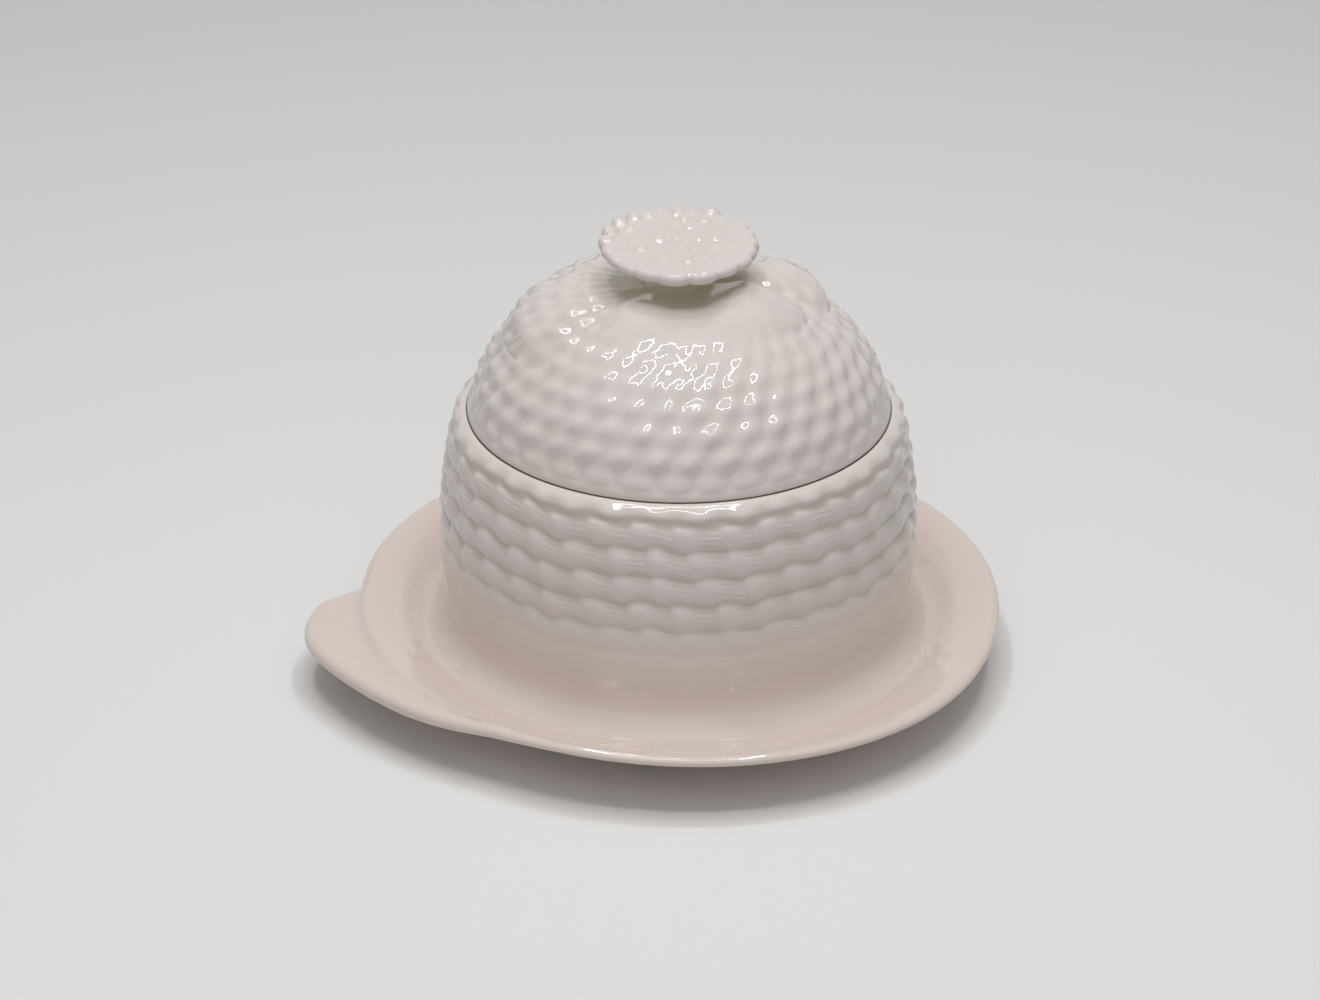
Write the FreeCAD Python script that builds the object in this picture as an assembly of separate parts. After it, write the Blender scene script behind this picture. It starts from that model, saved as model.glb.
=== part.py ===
import FreeCAD, Part
import math
import os

# Lidded honey pot in glazed earthenware: a coiled straw hive that stands on its own saucer.
# Millimetres. The table is z = 0, the axis of the pot is Z, and the saucer's thumb tab points along -X.

Vector = FreeCAD.Vector
ORIGIN = Vector(0, 0, 0)
Y_AXIS = Vector(0, 1, 0)
Z_AXIS = Vector(0, 0, 1)
FULL_TURN = 360.0
HALF_TURN = 180.0
QUARTER_TURN = 90.0
DIAGONAL = math.sqrt(0.5)

# Saucer
saucer_channel_width = 17.0
saucer_seat_margin = 4.6
seat_height = 10.5
plate_thickness = 6.0
underside_sag = 1.2
foot_ring_radius = 53.0
foot_ring_width = 5.5
foot_ring_taper = 0.6
bead_height = 16.9
bead_width = 6.4
rim_thickness = 4.0
channel_rise = 2.6

# Thumb tab of the saucer
tab_length = 14.4
tab_nose_radius = 30.0
tab_nose_offset = 1.5
tab_nose_rear_turn = 35.0
tab_nose_front_turn = 20.0
tab_corner_radius = 7.0
tab_corner_turn = 40.0
tab_front_angle = 222.0
tab_thickness = 4.0
tab_edge_proud = 0.4
tab_dish = 0.9
tab_drop_below_bead = 1.6

# Hive pot
pot_height = 59.0
belly_swell = 11.9
belly_height = 25.5
belly_curve_height = 86.0
pot_wall = 4.5
pot_floor = 5.0
pot_floor_fillet = 8.0
foot_flare = 3.4
foot_flare_height = 5.0
mouth_radius = 48.5
mouth_lip_height = 4.0
mouth_lip_slope = 3.0
rim_round = 2.4
rim_band = 4.5
pot_coil_pitch = 7.3
pot_groove_depth = 1.0
pot_groove_shares = (1.0, 1.0, 1.0, 1.0, 0.6, 0.25)

# Lid
lid_overlap = 4.5
lid_rise = 32.5
lid_edge_height = 4.5
lid_edge_round = 0.8
lid_wall = 4.2
lid_coil_count = 5
lid_groove_depth = 1.0
flange_depth = 5.0
flange_wall = 3.0
flange_clearance = 0.8
crown_flat_radius = 10.0

# Leaves round the knob
leaf_first_angle = 30.0
leaf_root_radius = 8.5
leaf_reach = 35.0
leaf_thickness = 4.0
leaf_thickness_shares = (1.0, 0.5, 0.75)
leaf_tip_lifts = (5.0, 0.0, 0.0)
leaf_gap = 1.0
lobe_turn = 30.0
lobe_middle_radius = 21.5
lobe_width = 25.0
crown_margin = 1.0

# Flower knob
stem_height = 7.4
stem_radius = 5.2
stem_foot_radius = 7.8
stem_head_radius = 6.6
flower_radius = 19.3
flower_disc_radius = 18.3
flower_disc_thickness = 1.9
flower_cup = 0.8
outer_petal_count = 22
outer_petal_length = 5.8
inner_petal_count = 14
inner_petal_length = 5.4
outer_petal_height = 3.0
inner_petal_height = 2.2
petal_gap = 0.2
centre_ring_count = 6

# How far a cutting tool runs past what it cuts
overrun = 5.0


def point(radius, height):
    """A point of a turned section, which lies in the XZ plane."""
    return Vector(radius, 0, height)


def polar(radius, angle):
    """A point of a plan, which lies in the XY plane."""
    turn = math.radians(angle)
    return Vector(radius * math.cos(turn), radius * math.sin(turn), 0)


def line(start, end):
    return Part.LineSegment(start, end).toShape()


def arc(start, middle, end):
    return Part.Arc(start, middle, end).toShape()


def quarter_round(start, end, corner):
    """An arc from start to end that bulges towards the corner between them."""
    middle = corner + (start + end - corner * 2) * (1 - DIAGONAL)
    return arc(start, middle, end)


def outline_face(edges):
    return Part.Face(Part.Wire(Part.__sortEdges__(edges)))


def turned(edges):
    """The solid that a closed section makes when it turns about the axis."""
    return outline_face(edges).revolve(ORIGIN, Z_AXIS, FULL_TURN)


def ellipsoid(x, y, z, lowest=-QUARTER_TURN):
    """A ball scaled to three half sizes, or its upper half when it starts at latitude zero."""
    size = FreeCAD.Matrix()
    size.scale(x, y, z)
    return Part.makeSphere(1, ORIGIN, Z_AXIS, lowest, QUARTER_TURN, FULL_TURN).transformGeometry(size)


class WallCurve:
    """A quarter of an ellipse beside a flat core: the section of a wall of the pot or the lid."""

    def __init__(self, radius, rise, base, core=0.0):
        self.width = radius - core
        self.rise = rise
        self.base = base
        self.core = core

    def inside(self, depth):
        return WallCurve(self.core + self.width - depth, self.rise - depth, self.base, self.core)

    def at(self, angle, depth=0.0):
        """The point at an angle above the base, sunk along the normal."""
        c = math.cos(angle)
        s = math.sin(angle)
        return point(self.core + self.width * c, self.base + self.rise * s) - self.normal(angle) * depth

    def normal(self, angle):
        return Vector(math.cos(angle) / self.width, 0, math.sin(angle) / self.rise).normalize()

    def angle_at_height(self, height):
        return math.asin((height - self.base) / self.rise)

    def angle_at_radius(self, radius):
        return math.acos((radius - self.core) / self.width)

    def radius_at(self, height):
        return self.core + self.width * math.cos(self.angle_at_height(height))

    def fillet_angle(self, floor, radius, steps=60):
        """Where a fillet that rises from a flat floor meets the inside of the curve."""
        low = self.angle_at_height(floor)
        high = math.radians(QUARTER_TURN)
        for _ in range(steps):
            angle = (low + high) / 2
            if self.at(angle, radius).z < floor + radius:
                low = angle
            else:
                high = angle
        return low

    def edge(self, start, end):
        """The stretch of the curve between two angles."""
        centre = point(self.core, self.base)
        side = point(self.core + self.width, self.base)
        top = point(self.core, self.base + self.rise)
        if self.width >= self.rise:
            return Part.ArcOfEllipse(Part.Ellipse(side, top, centre), start, end).toShape()
        quarter = math.radians(QUARTER_TURN)
        return Part.ArcOfEllipse(Part.Ellipse(top, side, centre), quarter - end, quarter - start).toShape()

    def even_angles(self, start, end, count, samples=400):
        """Angles that cut the curve into stretches of equal length."""
        angles = [start + (end - start) * i / samples for i in range(samples + 1)]
        runs = [0.0]
        for low, high in zip(angles, angles[1:]):
            runs.append(runs[-1] + self.at(low).distanceToPoint(self.at(high)))
        marks = [runs[-1] * k / count for k in range(count + 1)]
        return [max(angle for angle, run in zip(angles, runs) if run <= mark) for mark in marks]

    def coils(self, angles, depths):
        """Straw coils: crests on the curve, and a groove of its own depth at each angle."""
        edges = []
        for i in range(len(angles) - 1):
            low = self.at(angles[i], depths[i])
            high = self.at(angles[i + 1], depths[i + 1])
            edges.append(arc(low, self.at((angles[i] + angles[i + 1]) / 2), high))
        return edges


# The mouth leads the turned pieces: the belly and the lid follow it, and the saucer follows the belly.
belly_radius = mouth_radius + belly_swell
lid_radius = mouth_radius + lid_overlap
saucer_seat_radius = belly_radius + saucer_seat_margin
saucer_radius = saucer_seat_radius + saucer_channel_width
tab_reach = saucer_radius + tab_length

# Heights and curves that several pieces share
foot_height = seat_height - plate_thickness
seam_height = seat_height + pot_height
flange_radius = mouth_radius - flange_clearance
pot_curve = WallCurve(belly_radius, belly_curve_height, seat_height + belly_height)
lid_base = seam_height - lid_edge_height
lid_curve = WallCurve(lid_radius, lid_rise + lid_edge_height, lid_base, crown_flat_radius)
crown_height = seam_height + lid_rise
flower_base = crown_height + stem_height
flower_top = flower_base + flower_cup + flower_disc_thickness


def saucer_dish():
    """The turned dish: foot ring, flat seat for the pot, sloping channel and beaded rim."""
    half_rim = rim_thickness / 2
    channel_edge = point(saucer_radius - bead_width, seat_height + channel_rise)
    bead_top = point(saucer_radius - half_rim, bead_height)
    rim_side = point(saucer_radius, bead_height - half_rim)
    rim_under = point(saucer_radius - half_rim, bead_height - rim_thickness)
    foot_root = point(foot_ring_radius, foot_height)
    underside = (rim_under + foot_root) / 2 - point(0, underside_sag)
    corners = [
        foot_root,
        point(foot_ring_radius - foot_ring_taper, 0),
        point(foot_ring_radius - foot_ring_width, 0),
        point(foot_ring_radius - foot_ring_width, foot_height),
        point(0, foot_height),
        point(0, seat_height),
        point(saucer_seat_radius, seat_height),
        channel_edge,
    ]
    edges = [line(a, b) for a, b in zip(corners, corners[1:])]
    edges.append(quarter_round(channel_edge, bead_top, point(channel_edge.x, bead_top.z)))
    edges.append(arc(bead_top, rim_side, rim_under))
    edges.append(arc(rim_under, underside, foot_root))
    return turned(edges)


def tab_edge_path():
    """The centre line of the tab's rounded edge: rear edge, tight corner, round nose and long front edge."""
    half = tab_thickness / 2
    nose = tab_nose_radius - half
    corner = tab_corner_radius - half
    root_radius = saucer_radius - rim_thickness / 2
    nose_centre = Vector(tab_nose_radius - tab_reach, tab_nose_offset, 0)
    tip = nose_centre + polar(nose, HALF_TURN)

    to_rear = HALF_TURN - tab_nose_rear_turn
    rear_nose = nose_centre + polar(nose, to_rear)
    corner_centre = nose_centre + polar(nose - corner, to_rear)
    corner_middle = corner_centre + polar(corner, to_rear - tab_corner_turn / 2)
    corner_end = corner_centre + polar(corner, to_rear - tab_corner_turn)
    # The rear edge runs straight on until it is under the bead of the rim.
    heading = polar(1, to_rear - tab_corner_turn - QUARTER_TURN)
    along = -corner_end.dot(heading)
    spare = root_radius ** 2 - corner_end.dot(corner_end) + along ** 2
    rear_root = corner_end + heading * (along - math.sqrt(spare))

    # The front edge leaves the nose without a corner, so its centre is on the nose's own radius.
    outward = polar(1, HALF_TURN + tab_nose_front_turn)
    front_nose = nose_centre + outward * nose
    front_root = polar(root_radius, tab_front_angle)
    chord = front_root - front_nose
    front_radius = -chord.dot(chord) / (2 * chord.dot(outward))
    front_centre = front_nose - outward * front_radius
    to_middle = ((front_nose + front_root) / 2 - front_centre).normalize()
    return [
        line(rear_root, corner_end),
        arc(corner_end, corner_middle, rear_nose),
        arc(rear_nose, tip, front_nose),
        arc(front_nose, front_centre + to_middle * front_radius, front_root),
    ], rear_root, front_root


def tab_plate(edge_height):
    """A dished ring, a little thinner than the rounded edge, from which the tab's plan is cut."""
    half = tab_thickness / 2 - tab_edge_proud
    root = point(saucer_radius - rim_thickness, edge_height + half)
    tip = point(tab_reach, edge_height + half)
    middle = (root + tip) / 2 - point(0, tab_dish)
    down = point(0, half * 2)
    return turned([
        arc(root, middle, tip),
        line(tip, tip - down),
        arc(tip - down, middle - down, root - down),
        line(root - down, root),
    ])


def thumb_tab():
    """A shallow plate inside a rounded edge that dies away under the rim at both ends."""
    half = tab_thickness / 2
    edge_height = bead_height - tab_drop_below_bead - half
    edges, rear_root, front_root = tab_edge_path()
    root_middle = polar(saucer_radius - rim_thickness, (HALF_TURN + tab_front_angle) / 2)
    plan = outline_face(edges + [line(front_root, root_middle), line(root_middle, rear_root)])
    plate = plan.extrude(Vector(0, 0, bead_height)).common(tab_plate(edge_height))

    path = Part.Wire(Part.__sortEdges__(edges))
    path.translate(Vector(0, 0, edge_height))
    start = path.OrderedEdges[0]
    heading = start.tangentAt(start.FirstParameter)
    section = Part.Wire(Part.makeCircle(half, path.OrderedVertexes[0].Point, heading))
    edge = path.makePipeShell([section], True, True)
    ends = [Part.makeSphere(half, root + Vector(0, 0, edge_height)) for root in (rear_root, front_root)]
    return plate.fuse([edge] + ends)


def saucer():
    return saucer_dish().fuse(thumb_tab()).removeSplitter()


def hive_pot():
    """The hollow pot: flared foot, coiled wall that fades out below, rounded rim and a lipped mouth."""
    flare_height = seat_height + foot_flare_height
    flare_angle = pot_curve.angle_at_height(flare_height)
    foot = point(pot_curve.radius_at(flare_height) + foot_flare, seat_height)
    flare_top = pot_curve.at(flare_angle)
    shoulder_height = seam_height - rim_round
    shoulder = point(pot_curve.radius_at(shoulder_height), shoulder_height)
    rim_edge = point(shoulder.x - rim_round, seam_height)

    band_height = seam_height - rim_band
    heights = [band_height - pot_coil_pitch * i for i in range(len(pot_groove_shares))]
    angles = [pot_curve.angle_at_height(height) for height in heights]
    depths = [pot_groove_depth * share for share in pot_groove_shares]
    lowest = pot_curve.at(angles[-1], depths[-1])
    lower_middle = pot_curve.at((angles[-1] + flare_angle) / 2)

    inner = pot_curve.inside(pot_groove_depth + pot_wall)
    lip_height = seam_height - mouth_lip_height
    lip_foot_height = lip_height - mouth_lip_slope
    lip_foot = point(inner.radius_at(lip_foot_height), lip_foot_height)
    floor_height = seat_height + pot_floor
    fillet_end = inner.fillet_angle(floor_height, pot_floor_fillet)
    fillet_centre = inner.at(fillet_end, pot_floor_fillet)
    floor_edge = point(fillet_centre.x, floor_height)
    to_middle = (inner.normal(fillet_end) - Z_AXIS).normalize()

    edges = [
        line(point(0, seat_height), foot),
        quarter_round(foot, flare_top, point(flare_top.x, foot.z)),
        arc(flare_top, lower_middle, lowest),
        line(pot_curve.at(angles[0], depths[0]), shoulder),
        quarter_round(shoulder, rim_edge, point(shoulder.x, rim_edge.z)),
        line(rim_edge, point(mouth_radius, seam_height)),
        line(point(mouth_radius, seam_height), point(mouth_radius, lip_height)),
        line(point(mouth_radius, lip_height), lip_foot),
        inner.edge(fillet_end, inner.angle_at_height(lip_foot_height)),
        arc(inner.at(fillet_end), fillet_centre + to_middle * pot_floor_fillet, floor_edge),
        line(floor_edge, point(0, floor_height)),
        line(point(0, floor_height), point(0, seat_height)),
    ]
    return turned(edges + pot_curve.coils(angles, depths))


def lid():
    """The domed shell: coils up to the leaves, a smooth crown, a seat for the knob and a locating flange."""
    edge_height = seam_height + lid_edge_round
    edge_side = point(lid_curve.radius_at(edge_height), edge_height)
    edge_under = point(edge_side.x - lid_edge_round, seam_height)
    first = lid_curve.angle_at_height(edge_height)
    last = lid_curve.angle_at_radius(leaf_reach + crown_margin)
    angles = lid_curve.even_angles(first, last, lid_coil_count)
    depths = [0.0] + [lid_groove_depth] * (lid_coil_count - 1) + [0.0]

    inner = lid_curve.inside(lid_groove_depth + lid_wall)
    flange_inside = flange_radius - flange_wall
    flange_foot = seam_height - flange_depth
    hollow_edge = inner.angle_at_radius(flange_inside)
    top = math.radians(QUARTER_TURN)
    edges = [
        line(point(0, crown_height), lid_curve.at(top)),
        lid_curve.edge(angles[-1], top),
        quarter_round(edge_side, edge_under, point(edge_side.x, seam_height)),
        line(edge_under, point(flange_radius, seam_height)),
        line(point(flange_radius, seam_height), point(flange_radius, flange_foot)),
        line(point(flange_radius, flange_foot), point(flange_inside, flange_foot)),
        line(point(flange_inside, flange_foot), inner.at(hollow_edge)),
        inner.edge(hollow_edge, top),
        line(inner.at(top), point(0, inner.at(top).z)),
        line(point(0, inner.at(top).z), point(0, crown_height)),
    ]
    return turned(edges + lid_curve.coils(angles, depths))


def leaf_sector():
    """The room of one leaf along +X: clear of the stem's foot and of half the gap to each neighbour."""
    half_turn = math.radians(HALF_TURN / len(leaf_thickness_shares))
    far = leaf_reach + overrun
    spare = leaf_gap / 2 / math.cos(half_turn)
    root_half = leaf_root_radius * math.tan(half_turn) - spare
    far_half = far * math.tan(half_turn) - spare
    corners = [
        Vector(leaf_root_radius, root_half, lid_base),
        Vector(far, far_half, lid_base),
        Vector(far, -far_half, lid_base),
        Vector(leaf_root_radius, -root_half, lid_base),
    ]
    face = outline_face([line(a, b) for a, b in zip(corners, corners[1:] + corners[:1])])
    return face.extrude(Vector(0, 0, lid_curve.rise + leaf_thickness + overrun))


def leaf(thickness, tip_lift):
    """A broad fleshy leaf along +X: two lobes beside a crease, with tips that may lift off the crown."""
    middle = lid_curve.angle_at_radius(lobe_middle_radius)
    normal = lid_curve.normal(middle)
    slope = math.degrees(math.atan2(normal.x, normal.z))
    lobe = ellipsoid(leaf_reach - lobe_middle_radius, lobe_width / 2, thickness)
    lobe.rotate(ORIGIN, Y_AXIS, slope - tip_lift)
    lobe.translate(lid_curve.at(middle))
    pair = lobe.rotated(ORIGIN, Z_AXIS, lobe_turn).fuse(lobe.rotated(ORIGIN, Z_AXIS, -lobe_turn))
    return pair.common(leaf_sector())


def leaves(lid_shell):
    """A trefoil of leaves that differ as pressed clay does, each cut to the surface of the crown."""
    step = FULL_TURN / len(leaf_thickness_shares)
    shapes = []
    for i, (share, tip_lift) in enumerate(zip(leaf_thickness_shares, leaf_tip_lifts)):
        shape = leaf(leaf_thickness * share, tip_lift)
        shape.rotate(ORIGIN, Z_AXIS, leaf_first_angle + step * i)
        shapes.append(shape.cut(lid_shell))
    return shapes


def flower_stem():
    """The waisted stem between the crown and the flower."""
    foot = point(stem_foot_radius, crown_height)
    waist = point(stem_radius, crown_height + stem_height / 2)
    head = point(stem_head_radius, flower_base)
    return turned([
        line(point(0, crown_height), foot),
        arc(foot, waist, head),
        line(head, point(0, flower_base)),
        line(point(0, flower_base), point(0, crown_height)),
    ])


def flower_disc():
    """The cupped disc that carries the petals."""
    half = flower_disc_thickness / 2
    head = point(stem_head_radius, flower_base)
    under = point(flower_disc_radius - half, flower_top - flower_disc_thickness)
    side = point(flower_disc_radius, flower_top - half)
    over = point(flower_disc_radius - half, flower_top)
    return turned([
        line(point(0, flower_base), head),
        line(head, under),
        arc(under, side, over),
        line(over, point(0, flower_top)),
        line(point(0, flower_top), point(0, flower_base)),
    ])


def petal(length, width, height, radius, angle):
    """A half ellipsoid that lies on the disc with its length along a radius."""
    shape = ellipsoid(length / 2, width / 2, height, 0)
    shape.translate(Vector(radius, 0, flower_top))
    shape.rotate(ORIGIN, Z_AXIS, angle)
    return shape


def petal_ring(count, length, height, outer_radius, first_turn):
    """A ring of petals that reaches out to a radius, each as wide as its share of the ring allows."""
    radius = outer_radius - length / 2
    width = 2 * radius * math.sin(math.pi / count) - petal_gap
    turns = [FULL_TURN / count * (i + first_turn) for i in range(count)]
    return Part.makeCompound([petal(length, width, height, radius, turn) for turn in turns])


def flower_centre(outer_radius):
    """A bead in the middle and a ring of equal beads round it."""
    bead = (outer_radius - petal_gap) * 2 / 3
    ring_radius = outer_radius - bead / 2
    width = min(bead, 2 * ring_radius * math.sin(math.pi / centre_ring_count) - petal_gap)
    beads = [petal(bead, bead, inner_petal_height, 0, 0)]
    for i in range(centre_ring_count):
        turn = FULL_TURN / centre_ring_count * i
        beads.append(petal(bead - petal_gap, width, inner_petal_height, ring_radius, turn))
    return Part.makeCompound(beads)


def main():
    lid_shell = lid()
    inner_radius = flower_radius - outer_petal_length - petal_gap
    centre_radius = inner_radius - inner_petal_length - petal_gap
    pieces = {
        "saucer": saucer(),
        "hive_pot": hive_pot(),
        "lid": lid_shell,
        "flower_stem": flower_stem(),
        "flower_disc": flower_disc(),
        "outer_petals": petal_ring(
            outer_petal_count, outer_petal_length, outer_petal_height, flower_radius, 0),
        "inner_petals": petal_ring(
            inner_petal_count, inner_petal_length, inner_petal_height, inner_radius, 1 / 2),
        "flower_centre": flower_centre(centre_radius),
    }
    for i, leaf in enumerate(leaves(lid_shell)):
        pieces[f"leaf_{i + 1}"] = leaf
    os.makedirs("parts", exist_ok=True)
    for name, shape in pieces.items():
        shape.exportStep(f"parts/{name}.step")
        print(name, shape.isValid(), len(shape.Solids), round(shape.Volume), shape.BoundBox)


main()
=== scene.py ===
import math

import bpy
import numpy as np
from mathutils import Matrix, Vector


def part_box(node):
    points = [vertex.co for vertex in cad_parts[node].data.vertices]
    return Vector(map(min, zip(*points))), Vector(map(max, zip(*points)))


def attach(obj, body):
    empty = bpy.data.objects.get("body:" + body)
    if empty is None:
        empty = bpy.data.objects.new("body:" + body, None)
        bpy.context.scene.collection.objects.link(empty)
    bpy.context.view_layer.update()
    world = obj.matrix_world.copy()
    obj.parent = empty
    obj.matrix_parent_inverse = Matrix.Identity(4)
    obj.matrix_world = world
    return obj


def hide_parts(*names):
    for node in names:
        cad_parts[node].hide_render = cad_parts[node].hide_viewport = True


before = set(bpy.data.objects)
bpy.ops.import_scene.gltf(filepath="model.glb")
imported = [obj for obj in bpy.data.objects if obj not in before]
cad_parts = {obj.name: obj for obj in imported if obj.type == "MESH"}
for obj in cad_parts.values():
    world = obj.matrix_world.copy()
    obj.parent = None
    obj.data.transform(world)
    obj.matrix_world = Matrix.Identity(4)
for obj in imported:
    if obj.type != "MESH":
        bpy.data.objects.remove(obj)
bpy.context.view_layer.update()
print("frame loaded with", len(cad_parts), "nodes")

mm = 0.001
fullTurn = 2 * math.pi
viewTurn = math.radians(14)  # the picture is taken from this far round the front

# heights of the solids, in millimetres like the lengths of all pieces
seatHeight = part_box("hive_pot")[0].z / mm
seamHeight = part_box("hive_pot")[1].z / mm
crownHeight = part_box("lid")[1].z / mm
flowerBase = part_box("flower_stem")[1].z / mm
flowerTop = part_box("outer_petals")[1].z / mm


def softStep(low, high, x):  # 0 at low, 1 at high, smooth between
    t = np.clip((x - low) / (high - low), 0, 1)
    return t * t * (3 - 2 * t)


def between(x, rise, fall):  # 1 from the end of the rise to the start of the fall, 0 outside them
    return softStep(*rise, x) * (1 - softStep(*fall, x))


def softUnion(heights, blend):  # the highest of several forms, with soft creases between them
    peak = np.maximum.reduce(heights)
    return peak + blend * np.log(sum(np.exp((h - peak) / blend) for h in heights))


def softCurve(x, places, values):  # flows from value to value without corners
    result = np.full(np.shape(x), float(values[0]))
    for i in range(1, len(places)):
        result = result + (values[i] - values[i - 1]) * softStep(places[i - 1], places[i], x)
    return result


def turnGap(turn, centre):  # signed angle between two directions, in degrees
    return np.degrees((turn - np.radians(centre) + math.pi) % fullTurn - math.pi)


def hill(x, width, power=2):  # 1 at 0, dying away over the width
    return np.exp(-(x / width) ** power)


def waver(turn, waves, row=1):  # unevenness round a piece: each wave's size, number and start by row
    return sum(size * np.sin(count * turn + start * row) for size, count, start in waves)


def wallAt(wall, angle):  # section of a wall, a quarter ellipse beside a flat core
    return wall["core"] + wall["width"] * np.cos(angle), wall["base"] + wall["rise"] * np.sin(angle)


def wallNormal(wall, angle):
    r = np.cos(angle) / wall["width"]
    z = np.sin(angle) / wall["rise"]
    size = np.hypot(r, z)
    return r / size, z / size


def wallInside(wall, depth):
    return dict(wall, width=wall["width"] - depth, rise=wall["rise"] - depth)


def angleAtHeight(wall, height):
    return math.asin((height - wall["base"]) / wall["rise"])


def angleAtRadius(wall, radius):
    return math.acos((radius - wall["core"]) / wall["width"])


def radiusAtHeight(wall, height):
    return float(wallAt(wall, angleAtHeight(wall, height))[0])


def wallPoints(wall, angles):
    return [tuple(float(x) for x in wallAt(wall, a)) for a in angles]


def wallRun(wall, start, end, step):  # angles along a wall, about one step apart
    fine = np.linspace(start, end, 600)
    r, z = wallAt(wall, fine)
    run = np.concatenate([[0], np.cumsum(np.hypot(np.diff(r), np.diff(z)))])
    count = max(2, int(round(run[-1] / step)) + 1)
    return [float(a) for a in np.interp(np.linspace(0, run[-1], count), run, fine)]


def lineRun(start, end, count):  # straight stretch without its first point
    return [(start[0] + (end[0] - start[0]) * i / count, start[1] + (end[1] - start[1]) * i / count)
            for i in range(1, count + 1)]


def arcRun(centre, radius, start, end, count):  # round stretch, angles in degrees
    angles = [math.radians(start + (end - start) * i / count) for i in range(count + 1)]
    return [(centre[0] + radius * math.cos(a), centre[1] + radius * math.sin(a)) for a in angles]


def drawProfile(name, points):  # one vertex, extruded from point to point in the XZ plane
    bpy.ops.object.select_all(action="DESELECT")
    bpy.ops.mesh.primitive_plane_add(size=mm, location=(points[0][0] * mm, 0, points[0][1] * mm))
    piece = bpy.context.object
    piece.name = name
    bpy.ops.object.transform_apply(location=True, rotation=True, scale=True)
    bpy.ops.object.mode_set(mode="EDIT")
    bpy.ops.mesh.select_all(action="SELECT")
    bpy.ops.mesh.merge(type="CENTER")
    for here, there in zip(points, points[1:]):
        step = ((there[0] - here[0]) * mm, 0, (there[1] - here[1]) * mm)
        bpy.ops.mesh.extrude_region_move(TRANSFORM_OT_translate={"value": step})
    return piece


def spinProfile(name, points, steps, doublings):  # also gives each vertex's ring and turn
    piece = drawProfile(name, points)
    wedge = fullTurn / 2 ** doublings
    weldGap, blockSize = 0.004, 20000
    bpy.ops.mesh.select_all(action="SELECT")
    bpy.ops.mesh.spin(steps=steps, angle=wedge, center=(0, 0, 0), axis=(0, 0, 1))
    for i in range(doublings):  # the first wedge, copied round the axis
        bpy.ops.mesh.select_all(action="SELECT")
        bpy.ops.mesh.duplicate()
        bpy.ops.transform.rotate(value=wedge * 2 ** i, orient_axis="Z", center_override=(0, 0, 0))
    bpy.ops.mesh.select_all(action="SELECT")
    bpy.ops.mesh.remove_doubles(threshold=weldGap * mm)
    bpy.ops.mesh.normals_make_consistent(inside=False)
    bpy.ops.object.mode_set(mode="OBJECT")
    spots = readSpots(piece)
    radius = np.hypot(spots[:, 0], spots[:, 1])
    profile = np.array(points)
    place = np.zeros(len(spots), int)
    for block in range(0, len(spots), blockSize):
        part = slice(block, block + blockSize)
        across = radius[part, None] - profile[None, :, 0]
        upward = spots[part, 2][:, None] - profile[None, :, 1]
        place[part] = np.hypot(across, upward).argmin(1)
    return piece, place, np.arctan2(spots[:, 1], spots[:, 0])


def readSpots(piece):  # vertex places in millimetres
    flat = np.zeros(len(piece.data.vertices) * 3)
    piece.data.vertices.foreach_get("co", flat)
    return flat.reshape(-1, 3) / mm


def writeSpots(piece, radius, height, turn):
    spots = np.stack([radius * np.cos(turn), radius * np.sin(turn), height], 1)
    piece.data.vertices.foreach_set("co", (spots * mm).ravel())
    piece.data.update()


def writeTints(piece, hollowShade, poolAndPaintedLight, seam):  # numbers per vertex that the glaze reads
    for name, values in (("hollowShade", hollowShade), ("poolAndPaintedLight", poolAndPaintedLight), ("seam", seam)):
        tint = piece.data.attributes.new(name, "FLOAT", "POINT")
        spread = np.broadcast_to(np.asarray(values, np.float32), len(piece.data.vertices))
        tint.data.foreach_set("value", np.ascontiguousarray(spread))


def finishPiece(piece, material, body, nodes, sharp=38):
    bpy.ops.object.select_all(action="DESELECT")
    piece.select_set(True)
    bpy.context.view_layer.objects.active = piece
    bpy.ops.object.shade_smooth_by_angle(angle=math.radians(sharp))
    piece.data.materials.clear()
    piece.data.materials.append(material)
    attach(piece, body)
    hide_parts(*nodes)
    piece.data.calc_loop_triangles()
    print(piece.name, len(piece.data.loop_triangles), "triangles")


# Glaze
glazeLook = {
    "cream": (0.680, 0.616, 0.588, 1),
    "warm": (0.665, 0.560, 0.490, 1),
    # the foot's warm colour is painted lighter, standing in for light thrown up from the saucer
    "foot": (0.815, 0.712, 0.645, 1),
    "dish": (0.695, 0.592, 0.540, 1),
    "shade": (0.520, 0.465, 0.415, 1),
    # the pool colour: green glaze pooling, painted lighter than the body against the shade under the
    # flower
    "poolAndPaintedLight": (0.800, 0.765, 0.610, 1),
    "seam": (0.085, 0.050, 0.032, 1),
    "speck": (0.260, 0.180, 0.110, 1),
}
glazeGrain = {  # scale and detail of each noise
    "cloud": (38, 3), "patch": (21, 0), "gloss": (55, 4), "waves": (150, 2), "ripples": (620, 3),
}
glazeRange = {  # reading of each noise or tint: from low, from high, to low, to high
    "hollowShade": (0.1, 1, 0, 0.5), "poolAndPaintedLight": (0, 1, 0, 0.85), "seam": (0, 1, 0, 1),
    "cloud": (0.4, 0.75, 0, 0.16), "gloss": (0.35, 0.7, 0.025, 0.055),
    "dots": (0.014, 0.026, 1, 0), "patch": (0.60, 0.64, 0, 0.75),
}
glazeSkin = {
    "ior": 1.5, "speckCells": 62,
    "waves": (0.12, 0.35), "ripples": (0.08, 0.05),  # strength and depth
}
glazeWarmthAndFootLight = {  # heights over which the warm tone dies away, its share and its colour; the pot's foot colour is painted lighter too, standing in for light thrown up from the saucer
    "pot": (14, 50, 0.9, "foot"), "lid": (60, 64, 0.1, "warm"),
    "saucer": (20, 30, 0.85, "dish"), "knob": (60, 64, 0.1, "warm"),
}


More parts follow.
